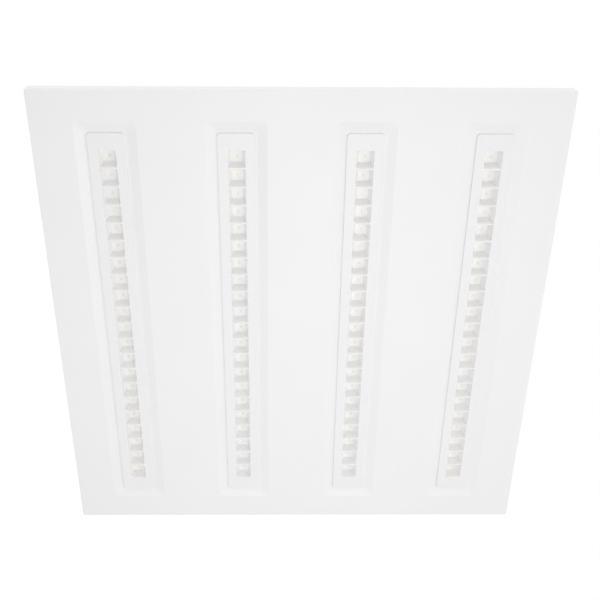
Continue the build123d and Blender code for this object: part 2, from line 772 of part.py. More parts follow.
# Terminal box: moulded box with a cable entry, screw ears and two hinge knuckles
with BuildPart() as terminal_box:
    with BuildSketch(Plane.XY.offset(plate_top)):
        with Locations((0, box_middle)):
            RectangleRounded(case_width, box_length, case_corner)
    extrude(amount=case_height)
    offset(amount=-case_wall, openings=terminal_box.faces().sort_by(Axis.Z)[-1])
    with BuildSketch(Plane.XY.offset(plate_top)):
        with Locations((0, box_middle)):
            SlotOverall(case_width + 2 * ear_reach, ear_width)
            Rectangle(case_width - case_wall, box_length - case_wall, mode=Mode.SUBTRACT)
    extrude(amount=ear_thickness)
    for side in (-1, 1):
        with BuildSketch(Plane.YZ.offset(side * (case_width / 2 - knuckle_width))):
            with Locations((hinge_y, hinge_z)):
                Circle(knuckle / 2)
            with Locations((hinge_y, hinge_z - knuckle_drop / 2)):
                Rectangle(knuckle, knuckle_drop)
        extrude(amount=side * knuckle_width)
        with BuildSketch(Plane.YZ.offset(side * (case_width / 2 - knuckle_width))):
            with Locations((hinge_y, hinge_z)):
                Circle(hinge_pin / 2 + hinge_fit)
        extrude(amount=side * knuckle_width, mode=Mode.SUBTRACT)
    punch(box_ear_points, case_screw, plate_top, ear_thickness)
    punch(earth_points, case_screw, plate_top, case_wall)
    punch(lug_points, cover_screw, plate_top, case_wall)
    with BuildSketch(Plane.XZ.offset(-box_start)):
        with Locations((0, bush_level)):
            Circle(bush_neck / 2 + bush_fit)
    extrude(amount=-case_wall, mode=Mode.SUBTRACT)
    with BuildSketch(Plane.XZ.offset(-driver_start)):
        with Locations(*[(x, header_level) for x in mains_places]):
            Circle(mains_wire / 2 + mains_fit)
    extrude(amount=case_wall, mode=Mode.SUBTRACT)
keep(terminal_box.part, "terminal_box")

# Terminal lid: flat lid with a finger lip, locating ribs, and a hinge barrel with a pin at each end
lid_end = box_start - lid_lip
lid_shoulder = hinge_y - knuckle / 2 - knuckle_gap
rib_outside = case_width - 2 * (case_wall + lid_rib_gap)
rib_start = box_start + case_wall + lid_rib_gap
with BuildPart() as terminal_lid:
    with BuildSketch(Plane.XY.offset(case_top)):
        with Locations((0, (lid_end + lid_shoulder) / 2)):
            Rectangle(case_width, lid_shoulder - lid_end)
        with Locations((0, (lid_shoulder + hinge_y) / 2)):
            Rectangle(2 * barrel_half, hinge_y - lid_shoulder)
    extrude(amount=lid_thickness)
    fillet(terminal_lid.edges().filter_by(Axis.Z).group_by(Axis.Y)[0], radius=case_corner)
    with BuildSketch(Plane.YZ.offset(-barrel_half)):
        with Locations((hinge_y, hinge_z)):
            Circle(barrel / 2)
    extrude(amount=2 * barrel_half)
    with BuildSketch(Plane.YZ.offset(-case_width / 2)):
        with Locations((hinge_y, hinge_z)):
            Circle(hinge_pin / 2)
    extrude(amount=case_width)
    with BuildSketch(Plane.XY.offset(case_top)):
        with Locations((0, (rib_start + lid_shoulder) / 2)):
            Rectangle(rib_outside, lid_shoulder - rib_start)
            Rectangle(rib_outside - 2 * lid_rib, lid_shoulder - rib_start - 2 * lid_rib, mode=Mode.SUBTRACT)
    extrude(amount=-lid_rib_depth)
keep(terminal_lid.part, "terminal_lid")

# Terminal block: three poles with a wire hole and a release slot each, screwed down by two lugs
with BuildPart() as terminal_block:
    with BuildSketch(Plane.XY.offset(case_floor)):
        with Locations((0, block_middle)):
            Rectangle(block_width, block_length)
    extrude(amount=block_height)
    chamfer(terminal_block.edges().group_by(Axis.Z)[-1], length=button_edge)
    with BuildSketch(Plane.XY.offset(case_floor)):
        with Locations((0, block_middle)):
            SlotOverall(block_width + 2 * block_lug, block_lug)
    extrude(amount=block_lug_thickness)
    with BuildSketch(Plane.XY.offset(block_top)):
        with Locations((0, block_middle)):
            with GridLocations(pole_pitch, 0, len(poles), 1):
                Rectangle(button_width + 2 * button_gap, button_length + 2 * button_gap)
    extrude(amount=-slot_depth, mode=Mode.SUBTRACT)
    with BuildSketch(Plane.XZ.offset(block_length - block_end)):
        with Locations((0, pole_level)):
            with GridLocations(pole_pitch, 0, len(poles), 1):
                Circle(pole_bore / 2)
    extrude(amount=-pole_bore_depth, mode=Mode.SUBTRACT)
    punch(lug_points, cover_screw, case_floor, block_lug_thickness)
keep(terminal_block.part, "terminal_block")
keep(
    screws(lug_points, cover_screw, case_floor + block_lug_thickness, skirt_height - screw_grip),
    "lug_screws",
)

# Release buttons, one to each pole, pressed down to free a wire
for pole, x in zip(poles, pole_places):
    with BuildPart() as release_button:
        with BuildSketch(Plane.XY.offset(button_bottom)):
            with Locations((x, block_middle)):
                Rectangle(button_width, button_length)
        extrude(amount=button_height)
        fillet(release_button.edges().group_by(Axis.Z)[-1], radius=button_edge)
    keep(release_button.part, f"release_button_{pole}")

# Cable bush: rubber grommet in the terminal box's end wall
with BuildPart() as cable_bush:
    with BuildSketch(Plane.XY.offset(bush_level)):
        with BuildLine():
            Polyline(
                (bush_bore / 2, box_start - bush_lip),
                (bush_flange / 2, box_start - bush_lip),
                (bush_flange / 2, box_start),
                (bush_neck / 2, box_start),
                (bush_neck / 2, box_start + case_wall),
                (bush_flange / 2, box_start + case_wall),
                (bush_flange / 2, box_start + case_wall + bush_lip),
                (bush_bore / 2, box_start + case_wall + bush_lip),
                close=True,
            )
        make_face()
    revolve(axis=Axis((0, 0, bush_level), (0, 1, 0)))
keep(cable_bush.part, "cable_bush")

# Mains leads: straight wires from the terminal block to the driver's input header
with BuildPart() as mains_leads:
    with BuildSketch(Plane.XZ.offset(-block_end)):
        with Locations(*[(x, header_level) for x in mains_places]):
            Circle(mains_wire / 2)
    extrude(amount=block_end - input_header_start)
keep(mains_leads.part, "mains_leads")

# Earth tag, its screw into the back plate, and the earth lead from the terminal block
with BuildPart() as earth_tag:
    with BuildSketch(Plane.XY.offset(case_floor)):
        with Locations(*earth_points):
            Circle(earth_ring / 2)
    extrude(amount=earth_tag_thickness)
    with BuildSketch(Plane.XZ.offset(-earth_barrel_end)):
        with Locations((earth_x, earth_level)):
            Circle(earth_barrel / 2)
    extrude(amount=earth_barrel_length + earth_tag_thickness)
    punch(earth_points, case_screw, case_floor, earth_tag_thickness)
keep(earth_tag.part, "earth_tag")
keep(
    screws(earth_points, case_screw, case_floor + earth_tag_thickness, skirt_height - screw_grip),
    "earth_screw",
)
earth_route = [
    (pole_pitch, block_end, earth_level),
    (pole_pitch, block_end + earth_lane, earth_level),
    (earth_x, block_end + earth_lane, earth_level),
    (earth_x, earth_barrel_end, earth_level),
]
keep(lead([earth_route], mains_wire, earth_bend), "earth_lead")
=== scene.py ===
# Square lay-in LED louvre light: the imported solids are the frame, and the louvres, LEDs, screws and other
# small pieces are modelled here, in metres, in the places that the solids give them.
from math import pi, radians

import bmesh
import bpy
from mathutils import Matrix, Vector


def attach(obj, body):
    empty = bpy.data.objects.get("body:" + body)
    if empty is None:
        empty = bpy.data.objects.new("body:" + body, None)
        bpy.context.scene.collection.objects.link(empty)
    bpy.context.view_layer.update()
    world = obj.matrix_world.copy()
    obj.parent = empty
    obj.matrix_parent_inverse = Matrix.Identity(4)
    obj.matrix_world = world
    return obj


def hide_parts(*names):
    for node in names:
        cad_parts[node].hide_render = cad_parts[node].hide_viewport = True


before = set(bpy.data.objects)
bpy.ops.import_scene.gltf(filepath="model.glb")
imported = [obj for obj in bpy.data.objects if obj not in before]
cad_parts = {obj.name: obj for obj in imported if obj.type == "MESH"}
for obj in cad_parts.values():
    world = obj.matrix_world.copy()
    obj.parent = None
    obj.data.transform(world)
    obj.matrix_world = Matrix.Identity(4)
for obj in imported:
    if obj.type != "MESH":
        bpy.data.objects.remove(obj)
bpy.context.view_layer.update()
mm = 0.001


# Face plate: a tray of 0.6 mm steel sheet, pressed with four recesses, its skirt turned up round the edge.
# White powder is sprayed on and stoved, which leaves a satin skin with a faint orange peel. The back plate
# is cut and coated the same way.
def srgb(code):
    """Turns a hex colour into linear values."""
    parts = [int(code[i:i + 2], 16) / 255 for i in (1, 3, 5)]
    return [p / 12.92 if p <= 0.04045 else ((p + 0.055) / 1.055) ** 2.4 for p in parts] + [1.0]


def add(tree, kind, what):
    """Adds a node; each entry sets a property or an input, or links an output to an input."""
    node = tree.nodes.new("ShaderNode" + kind)
    for name, value in what.items():
        if isinstance(name, str) and name not in node.inputs:
            setattr(node, name, value)
        elif isinstance(value, bpy.types.NodeSocket):
            tree.links.new(value, node.inputs[name])
        else:
            node.inputs[name].default_value = value
    return node


def new_material(name):
    """Starts a material; returns it with its node tree, its shader and its coordinates."""
    material = bpy.data.materials.new(name)
    material.use_nodes = True
    tree = material.node_tree
    return material, tree, tree.nodes["Principled BSDF"], add(tree, "TexCoord", {}).outputs["Object"]


def feed(tree, shader, colour, roughness, relief, depth):
    """Links a colour, a roughness and a relief of a given depth to a shader."""
    tree.links.new(colour, shader.inputs["Base Color"])
    tree.links.new(roughness, shader.inputs["Roughness"])
    bump = add(tree, "Bump", {"Height": relief, "Distance": depth, "Strength": 1.0})
    tree.links.new(bump.outputs["Normal"], shader.inputs["Normal"])


def clothe(material, *names):
    """Gives CAD nodes a material."""
    for name in names:
        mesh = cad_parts[name].data
        mesh.materials.clear()
        mesh.materials.append(material)


# Powder coat: a soft, even white whose highlights break up a little over the orange peel. The melted grains
# of powder are too fine to show, so they are drawn 0.7 mm wide.
drift_width = 90 * mm
dust_width = 0.7 * mm
peel_width, peel_depth = 2.6 * mm, 0.012 * mm
powder_coat, tree, shader, place = new_material("powder_coat_on_steel")
drift = add(tree, "TexNoise", {"Vector": place, "Scale": 1 / drift_width, "Detail": 1.0})
dust = add(tree, "TexNoise", {"Vector": place, "Scale": 1 / dust_width, "Detail": 2.0})
peel = add(tree, "TexNoise", {"Vector": place, "Scale": 1 / peel_width, "Detail": 1.0})
shade = add(tree, "Mix", {
    "data_type": "RGBA", 0: drift.outputs["Fac"], 6: srgb("#F0EFEF"), 7: srgb("#F3F2F2"),
})
satin = add(tree, "MapRange", {"Value": dust.outputs["Fac"], "To Min": 0.38, "To Max": 0.50})
feed(tree, shader, shade.outputs[2], satin.outputs["Result"], peel.outputs["Fac"], peel_depth)
clothe(powder_coat, "face_plate", "back_plate")


# Louvres: four grilles moulded in one piece each from white polycarbonate. A flat frame lies in the recess,
# a folded wall makes a funnel for every LED, and a collar with hooks snaps through the slot in the sheet.
def start(name, maker, **given):
    """Adds a primitive with nothing else selected and opens it in edit mode."""
    if bpy.context.object:
        bpy.ops.object.mode_set(mode="OBJECT")
    bpy.ops.object.select_all(action="DESELECT")
    maker(**given)
    piece = bpy.context.object
    piece.name = piece.data.name = name
    bpy.ops.object.transform_apply(location=True, rotation=True, scale=True)
    bpy.ops.object.mode_set(mode="EDIT")
    return piece


def start_box(name, size, middle, turn=0):
    """Starts a box, turned about Z."""
    return start(
        name, bpy.ops.mesh.primitive_cube_add, size=1, location=middle, rotation=(0, 0, turn), scale=size,
    )


def pick(piece, kind, test):
    """Selects the vertices, edges or faces whose middle and own data pass a test."""
    bpy.ops.mesh.select_mode(type=kind)
    bpy.ops.mesh.select_all(action="DESELECT")
    shape = bmesh.from_edit_mesh(piece.data)
    for part in {"VERT": shape.verts, "EDGE": shape.edges, "FACE": shape.faces}[kind]:
        corners = [part] if kind == "VERT" else part.verts
        middle = sum((corner.co for corner in corners), Vector()) / len(corners)
        if test(middle, part):
            part.select_set(True)
    bmesh.update_edit_mesh(piece.data)


def rise(edge):
    """Gives the height between an edge's ends."""
    return abs(edge.verts[0].co.z - edge.verts[1].co.z)


def resize(x, y, z, centre=(0, 0, 0)):
    """Scales what is selected about a point."""
    bpy.ops.transform.resize(value=(x, y, z), center_override=centre)


def extrude(y=0, z=0):
    """Extrudes what is selected and moves it."""
    bpy.ops.mesh.extrude_region_move(TRANSFORM_OT_translate={"value": (0, y, z)})


def bevel(offset, segments, affect="EDGES"):
    """Rounds the edges or corners that are selected."""
    bpy.ops.mesh.bevel(offset=offset, segments=segments, affect=affect)


def apply(piece, kind, **settings):
    """Adds a modifier to a piece and applies it."""
    bpy.ops.object.mode_set(mode="OBJECT")
    modifier = piece.modifiers.new(kind.lower(), kind)
    for name, value in settings.items():
        setattr(modifier, name, value)
    bpy.ops.object.modifier_apply(modifier=modifier.name)


def repeat(piece, count, pitch, **merging):
    """Repeats a piece along Y."""
    apply(
        piece, "ARRAY", count=count, use_relative_offset=False, use_constant_offset=True,
        constant_offset_displace=(0, pitch, 0), **merging,
    )


def thicken(piece, thickness):
    """Gives a skin a thickness on its inner side."""
    apply(piece, "SOLIDIFY", thickness=thickness, offset=-1.0, use_even_offset=True, use_rim=True)


def join(*pieces):
    """Joins pieces into the first."""
    bpy.ops.object.mode_set(mode="OBJECT")
    bpy.ops.object.select_all(action="DESELECT")
    for piece in pieces:
        piece.select_set(True)
    bpy.context.view_layer.objects.active = pieces[0]
    bpy.ops.object.join()


def finish(piece, *materials, angle=35):
    """Shades a finished mesh and gives it its materials."""
    bpy.ops.object.mode_set(mode="OBJECT")
    bpy.ops.object.select_all(action="DESELECT")
    piece.select_set(True)
    bpy.context.view_layer.objects.active = piece
    for material in materials:
        piece.data.materials.append(material)
    bpy.ops.object.shade_smooth_by_angle(angle=radians(angle))
    apply(piece, "WEIGHTED_NORMAL", keep_sharp=True)


def twin(piece, name, shift):
    """Copies a piece with its own mesh to another place."""
    other = piece.copy()
    other.data = piece.data.copy()
    other.name = other.data.name = name
    other.data.transform(Matrix.Translation(shift))
    bpy.context.scene.collection.objects.link(other)
    return other


# A spark-eroded mould leaves a grain of about 0.1 mm. It is too fine to show, so grains are drawn 0.3 to
# 1.5 mm wide here, also those of the extruded and sintered pieces further on.
flow_width = 14 * mm
grain_depth = 0.008 * mm


def moulded(name, light, dark, grain, low, high):
    """Makes a moulded, extruded or sintered material: flow marks in its colour, and a grain that moves its
    roughness between low and high."""
    material, tree, shader, place = new_material(name)
    flow = add(tree, "TexNoise", {"Vector": place, "Scale": 1 / flow_width, "Detail": 2.0})
    fine = add(tree, "TexNoise", {"Vector": place, "Scale": 1 / grain, "Detail": 2.0})
    colour = add(tree, "Mix", {"data_type": "RGBA", 0: flow.outputs["Fac"], 6: srgb(dark), 7: srgb(light)})
    gloss = add(tree, "MapRange", {"Value": fine.outputs["Fac"], "To Min": low, "To Max": high})
    feed(tree, shader, colour.outputs[2], gloss.outputs["Result"], fine.outputs["Fac"], grain_depth)
    return material


# Polycarbonate: a matt grain on the frame, and a glossier white in the polished funnels.
# The funnels' white is painted brighter than the frame's: painted light that lifts the shade inside the cells.
grained = moulded("grained_polycarbonate", "#F1F0F0", "#EEEDED", 0.5 * mm, 0.38, 0.48)
polished_and_painted_bright = moulded("polished_polycarbonate_painted_bright", "#FBFAFA", "#F8F7F7", 1.5 * mm, 0.12, 0.20)

strip_places = [-215.25 * mm, -71.75 * mm, 71.75 * mm, 215.25 * mm]
cell_count, cell_pitch = 21, 22 * mm
first_cell = -(cell_count - 1) / 2 * cell_pitch
mouth_width, mouth_length = 20 * mm, 20.5 * mm
band_width = 23 * mm
funnel_depth, funnel_steps = 11.5 * mm, 4
lean, curve = 3.515 * mm, 0.25
wall = 1.0 * mm
frame_width, frame_length = 42.5 * mm, 499 * mm
frame_low, frame_high = 0.7 * mm, 2.8 * mm
cell_corner, frame_corner = 0.8 * mm, 4 * mm
frame_round, blade_round = 0.9 * mm, 0.35 * mm
hair = 0.01 * mm

# Faces are told by how much of their normal lies along an axis, and edges by their faces' turn in radians or
# by how far they run aslant.
facing = 0.9
frame_turn, blade_turn, hook_turn = 1.2, 0.9, 1.0
aslant = 2 * mm

louvre = start("louvre_grille_1", bpy.ops.mesh.primitive_plane_add, size=1, location=(0, 0, frame_low))
resize(band_width, cell_pitch, 1)
bpy.ops.mesh.inset(thickness=0)
resize(mouth_width / band_width, mouth_length / cell_pitch, 1)
depths = [step / funnel_steps for step in range(funnel_steps + 1)]
insets = [lean * ((1 - curve) * depth + curve * depth * depth) for depth in depths]
for last, inset in zip(insets, insets[1:]):
    extrude(z=funnel_depth / funnel_steps)
    resize(
        (mouth_width - 2 * inset) / (mouth_width - 2 * last),
        (mouth_length - 2 * inset) / (mouth_length - 2 * last),
        1,
    )
bpy.ops.mesh.delete(type="FACE")
pick(louvre, "EDGE", lambda m, e: rise(e) > mm)
bevel(cell_corner, 3)
bpy.ops.object.mode_set(mode="OBJECT")
for material in (grained, polished_and_painted_bright):
    louvre.data.materials.append(material)
# Steep funnel walls get the glossy white painted brighter as painted light; the frame and blade edges get the
# matt white.
for face in louvre.data.polygons:
    face.material_index = int(abs(face.normal.z) < facing)
repeat(louvre, cell_count, cell_pitch, use_merge_vertices=True, merge_threshold=hair)

# The frame grows from the outer edge of the cells, and the whole skin then gets its wall.
edge_x, edge_y = 0.49 * frame_width, 0.49 * frame_length
bpy.ops.object.mode_set(mode="EDIT")
bpy.ops.mesh.select_all(action="SELECT")
bpy.ops.transform.translate(value=(0, first_cell, 0))
pick(louvre, "EDGE", lambda m, e: abs(m.z - frame_low) < hair and e.is_boundary)
extrude()
resize(frame_width / band_width, frame_length / (cell_count * cell_pitch), 1)
pick(
    louvre, "EDGE",
    lambda m, e: min(abs(e.verts[0].co[i] - e.verts[1].co[i]) for i in (0, 1)) > aslant
    and any(abs(v.co.x) > edge_x and abs(v.co.y) > edge_y for v in e.verts),
)
bpy.ops.mesh.dissolve_edges(use_verts=False)
pick(louvre, "EDGE", lambda m, e: abs(m.z - frame_low) < hair and e.is_boundary)
extrude(z=frame_high - frame_low)
pick(louvre, "EDGE", lambda m, e: abs(m.x) > edge_x and abs(m.y) > edge_y and rise(e) > mm)
bevel(frame_corner, 6)
bpy.ops.mesh.select_all(action="SELECT")
bpy.ops.mesh.normals_make_consistent(inside=False)
flat = next(f for f in bmesh.from_edit_mesh(louvre.data).faces if abs(f.normal.z) > facing)
if flat.normal.z > 0:
    bpy.ops.mesh.flip_normals()
thicken(louvre, wall)

# The funnels' ends are levelled, and the frame's outer edge and the blades' edges are rounded.
cells_x, cells_y = 12 * mm, 232 * mm
funnel_end = frame_low + 0.99 * funnel_depth
bpy.ops.object.mode_set(mode="EDIT")
pick(louvre, "VERT", lambda m, v: m.z > funnel_end)
resize(1, 1, 0, (0, 0, frame_low + funnel_depth))
pick(
    louvre, "EDGE",
    lambda m, e: abs(m.z - frame_low) < hair and e.calc_face_angle(0) > frame_turn
    and (abs(m.x) > cells_x or abs(m.y) > cells_y),
)
bevel(frame_round, 5)
pick(
    louvre, "EDGE",
    lambda m, e: abs(m.z - frame_low) < hair and e.calc_face_angle(0) > blade_turn
    and abs(m.x) < cells_x and abs(m.y) < cells_y,
)
bevel(blade_round, 3)

collar_width, collar_length, collar_top = 22 * mm, 462.5 * mm, 6.8 * mm
collar = start("collar", bpy.ops.mesh.primitive_plane_add, size=1, location=(0, 0, frame_low + wall))
resize(collar_width, collar_length, 1)
bpy.ops.mesh.delete(type="ONLY_FACE")
bpy.ops.mesh.select_all(action="SELECT")
extrude(z=collar_top - frame_low - wall)
bpy.ops.mesh.select_all(action="SELECT")
bpy.ops.mesh.normals_make_consistent(inside=False)
thicken(collar, wall)

hook_low, hook_rise, hook_reach, hook_length = 3.5 * mm, 2.6 * mm, 1.1 * mm, 10 * mm
hook_count, hook_pitch = 5, 88 * mm
hook_slope, hook_edge = 0.8 * hook_reach, 0.12 * mm
first_hook = -(hook_count - 1) / 2 * hook_pitch
hook_outside, hook_top = collar_width / 2 + 0.9 * hook_reach, hook_low + 0.9 * hook_rise
hooks = []
for side in (-1, 1):
    hook_middle = (side * (collar_width + hook_reach) / 2, first_hook, hook_low + hook_rise / 2)
    hook = start_box("hook", (hook_reach, hook_length, hook_rise), hook_middle)
    pick(hook, "EDGE", lambda m, e: m.z > hook_top and side * m.x > hook_outside)
    bpy.ops.transform.translate(value=(-side * hook_slope, 0, 0))
    pick(hook, "EDGE", lambda m, e: e.calc_face_angle(0) > hook_turn)
    bevel(hook_edge, 2)
    repeat(hook, hook_count, hook_pitch)
    hooks.append(hook)
for piece in (collar, *hooks):
    piece.data.materials.append(grained)
join(louvre, collar, *hooks)
finish(louvre)
louvre.data.transform(Matrix.Translation((strip_places[0], 0, 0)))
grilles = [louvre]
for number in (2, 3, 4):
    strip_shift = (strip_places[number - 1] - strip_places[0], 0, 0)
    grilles.append(twin(louvre, f"louvre_grille_{number}", strip_shift))
for number, grille in enumerate(grilles, 1):
    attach(grille, "housing")
    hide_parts(f"louvre_{number}")


# LED boards and LEDs: white solder mask on an aluminium core, with one small package above every funnel. A
# package is a white moulded cup of 2.8 x 3.5 mm, filled almost level with yellow phosphor in clear silicone.
board_under = 12.2 * mm
led_size = (2.8 * mm, 3.5 * mm, 0.7 * mm)
led_corner = 0.25 * mm
cup_wall, cup_depth, cup_taper = 0.3 * mm, 0.18 * mm, (0.86, 0.9, 1)
phosphor_edge = 0.02 * mm

# Solder mask: a plain white, a little uneven over the glass cloth that insulates the core. The cloth's yarns
# lie about 0.5 mm apart, too close to show, so the unevenness is drawn 1.2 mm wide.
weave_width, blush_width, weave_depth = 1.2 * mm, 30 * mm, 0.01 * mm
solder_mask, tree, shader, place = new_material("white_solder_mask")
weave = add(tree, "TexNoise", {"Vector": place, "Scale": 1 / weave_width, "Detail": 2.0})
blush = add(tree, "TexNoise", {"Vector": place, "Scale": 1 / blush_width, "Detail": 1.0})
tone = add(tree, "Mix", {
    "data_type": "RGBA", 0: blush.outputs["Fac"], 6: srgb("#F3F2F0"), 7: srgb("#F8F7F5"),
})
matt = add(tree, "MapRange", {"Value": weave.outputs["Fac"], "To Min": 0.30, "To Max": 0.45})
feed(tree, shader, tone.outputs[2], matt.outputs["Result"], weave.outputs["Fac"], weave_depth)
clothe(solder_mask, *[f"led_board_{n}" for n in (1, 2, 3, 4)])

# LED: a clean white cup round a wet, pale yellow grain, which reads as a warm spot deep in each cell. Grains
# of phosphor are hundredths of a millimetre wide, too fine to show, so they are drawn 0.25 mm wide.
phosphor_width, phosphor_depth, silicone_ior = 0.25 * mm, 0.01 * mm, 1.41
led_cup = moulded("led_cup_plastic", "#F6F5F0", "#EFEDE6", 0.3 * mm, 0.25, 0.35)
phosphor, tree, shader, place = new_material("phosphor_in_silicone")
grains = add(tree, "TexNoise", {"Vector": place, "Scale": 1 / phosphor_width, "Detail": 3.0})
hue = add(tree, "Mix", {
    "data_type": "RGBA", 0: grains.outputs["Fac"], 6: srgb("#F2E8C6"), 7: srgb("#F6F0D4"),
})
wet = add(tree, "MapRange", {"Value": grains.outputs["Fac"], "To Min": 0.15, "To Max": 0.30})
feed(tree, shader, hue.outputs[2], wet.outputs["Result"], grains.outputs["Fac"], phosphor_depth)
shader.inputs["IOR"].default_value = silicone_ior

led = start_box("led_row_pieces_1", led_size, (0, first_cell, board_under - led_size[2] / 2))
pick(led, "EDGE", lambda m, e: rise(e) > 0.1 * mm)
bevel(led_corner, 2)
pick(led, "FACE", lambda m, f: f.normal.z < -facing)
bpy.ops.mesh.inset(thickness=cup_wall)
extrude(z=cup_depth)
resize(*cup_taper, (0, first_cell, board_under - led_size[2]))
bpy.ops.mesh.inset(thickness=phosphor_edge)
bpy.ops.object.mode_set(mode="OBJECT")
for face in led.data.polygons:
    face.material_index = int(face.select)
repeat(led, cell_count, cell_pitch)
finish(led, led_cup, phosphor)
led.data.transform(Matrix.Translation((strip_places[0], 0, 0)))
led_rows = [led]
for number in (2, 3, 4):
    strip_shift = (strip_places[number - 1] - strip_places[0], 0, 0)
    led_rows.append(twin(led, f"led_row_pieces_{number}", strip_shift))
for number, row in enumerate(led_rows, 1):
    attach(row, "housing")
    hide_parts(f"led_row_{number}")


# Plugs and leads on the boards: white nylon sockets soldered to each board's ends, and pale PVC leads that
# run from board to board between the sheets. Push-in nylon clips hold them to the back plate.
def carve(piece, tool, operation="DIFFERENCE"):
    """Cuts a tool out of a piece, or fuses it on, and removes the tool."""
    bpy.ops.object.mode_set(mode="OBJECT")
    bpy.context.view_layer.objects.active = piece
    apply(piece, "BOOLEAN", object=tool, operation=operation, solver="EXACT")
    bpy.data.objects.remove(tool)


# Nylon and PVC: milky plastics with soft highlights, the leads a little greyer than the sockets.
nylon = moulded("natural_nylon", "#EEECE6", "#E6E3DB", 0.4 * mm, 0.36, 0.50)
pale_pvc = moulded("extruded_pale_pvc", "#E4E3E0", "#DCDBD7", 0.8 * mm, 0.40, 0.52)
clothe(nylon, "lead_clips")
clothe(pale_pvc, "jumper_lead_1", "jumper_lead_2", "jumper_lead_3", "feed_lead")

socket_size, socket_edge = (12 * mm, 9 * mm, 4.2 * mm), 0.6 * mm
socket_end = 240.75 * mm
socket_face = board_under - socket_size[2]
latch_size = (1.2 * mm, 3.4 * mm, 1.6 * mm)
latch_steps = (-4.1 * mm, -2.3 * mm, 2.3 * mm, 4.1 * mm)
socket_places = [(x, y) for x in strip_places for y in (-socket_end, socket_end)]
first_x, first_y = socket_places[0]
socket_middle = (first_x, first_y, board_under - socket_size[2] / 2)
socket = start_box("board_connectors_moulded", socket_size, socket_middle)
pick(socket, "EDGE", lambda m, e: m.z < socket_face + hair)
bevel(socket_edge, 2)
for step in latch_steps:
    carve(socket, start_box("latch_pocket", latch_size, (first_x + step, first_y, socket_face)))
sockets = [twin(socket, "socket", (x - first_x, y - first_y, 0)) for x, y in socket_places[1:]]
join(socket, *sockets)
finish(socket, nylon)
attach(socket, "housing")
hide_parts("board_connectors")


# Back plate screws: pan heads with a cross recess, cold formed in steel and zinc plated, sixteen round the
# rim and four through each board. The plating is bright grey with a slight haze.
haze_width = 9 * mm
metal_depth = 0.004 * mm


def plated(name, light, dark, grain, low, high):
    """Makes a metal: a cloudy tone, and a grain that moves its roughness between low and high."""
    material, tree, shader, place = new_material(name)
    haze = add(tree, "TexNoise", {"Vector": place, "Scale": 1 / haze_width, "Detail": 3.0})
    fine = add(tree, "TexNoise", {"Vector": place, "Scale": 1 / grain, "Detail": 2.0})
    colour = add(tree, "Mix", {"data_type": "RGBA", 0: haze.outputs["Fac"], 6: srgb(dark), 7: srgb(light)})
    gloss = add(tree, "MapRange", {"Value": fine.outputs["Fac"], "To Min": low, "To Max": high})
    feed(tree, shader, colour.outputs[2], gloss.outputs["Result"], fine.outputs["Fac"], metal_depth)
    shader.inputs["Metallic"].default_value = 1.0
    return material


def start_rod(name, sides, radius, length, middle, tilt=0):
    """Starts a round rod, tilted about X."""
    return start(
        name, bpy.ops.mesh.primitive_cylinder_add, vertices=sides, radius=radius, depth=length,
        location=middle, rotation=(tilt, 0, 0),
    )


# Zinc: a cool, bright grey that catches light on the heads. Its crystals, like those of the wire, the heat
# sink and the tag further on, are too fine to show, so they are drawn 0.4 to 1.5 mm wide.
zinc = plated("zinc_plated_steel", "#D3D5D7", "#BBBDC0", 0.4 * mm, 0.24, 0.40)

# A screw's shares of its shank's diameter: the head's rises with their scales, the point and the recess.
head_ratio = 1.85
head_steps = ((0.30, 1.0), (0.14, 0.94), (0.10, 0.84), (0.06, 0.66))
point_ratio, point_taper = 0.35, 0.55
recess_ratios, recess_level, recess_taper = (0.96, 0.20, 0.5), 0.45, 0.5


def pan_screws(node, size, seat, tip, places):
    """Forms one screw, head up, and sets copies at the places; a tip above the seat turns it over."""
    reach = abs(seat - tip)
    shank = reach - point_ratio * size
    screw = start_rod(node + "_formed", 24, 0.5 * size, shank, (0, 0, -shank / 2))
    pick(screw, "FACE", lambda m, f: f.normal.z < -facing)
    extrude(z=-point_ratio * size)
    resize(point_taper, point_taper, 1, (0, 0, -reach))
    pick(screw, "FACE", lambda m, f: f.normal.z > facing)
    extrude()
    resize(head_ratio, head_ratio, 1)
    for step, scale in head_steps:
        extrude(z=step * size)
        resize(scale, scale, 1)
    recess_size = [ratio * size for ratio in recess_ratios]
    for turn in (0, pi / 2):
        blade = start_box("recess_blade", recess_size, (0, 0, recess_level * size), turn)
        pick(blade, "FACE", lambda m, f: f.normal.z < -facing)
        resize(recess_taper, recess_taper, 1)
        carve(screw, blade)
    if tip > seat:
        screw.data.transform(Matrix.Rotation(pi, 4, "X"))
    others = [twin(screw, "screw", (x, y, seat)) for x, y in places[1:]]
    screw.data.transform(Matrix.Translation((*places[0], seat)))
    if others:
        join(screw, *others)
    finish(screw, zinc)
    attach(screw, "housing")
    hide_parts(node)


plate_back = 14.2 * mm
rim_line = 290 * mm
rim_steps = [-225 * mm, -75 * mm, 75 * mm, 225 * mm]
rim_places = [(side * rim_line, step) for side in (-1, 1) for step in rim_steps]
rim_places += [(y, x) for x, y in rim_places]
pan_screws("rim_screws", size=3.0 * mm, seat=plate_back, tip=10.4 * mm, places=rim_places)
board_steps = [-165 * mm, -55 * mm, 55 * mm, 165 * mm]
board_places = [(x, y) for x in strip_places for y in board_steps]
pan_screws("board_screws", size=2.5 * mm, seat=board_under, tip=plate_back, places=board_places)


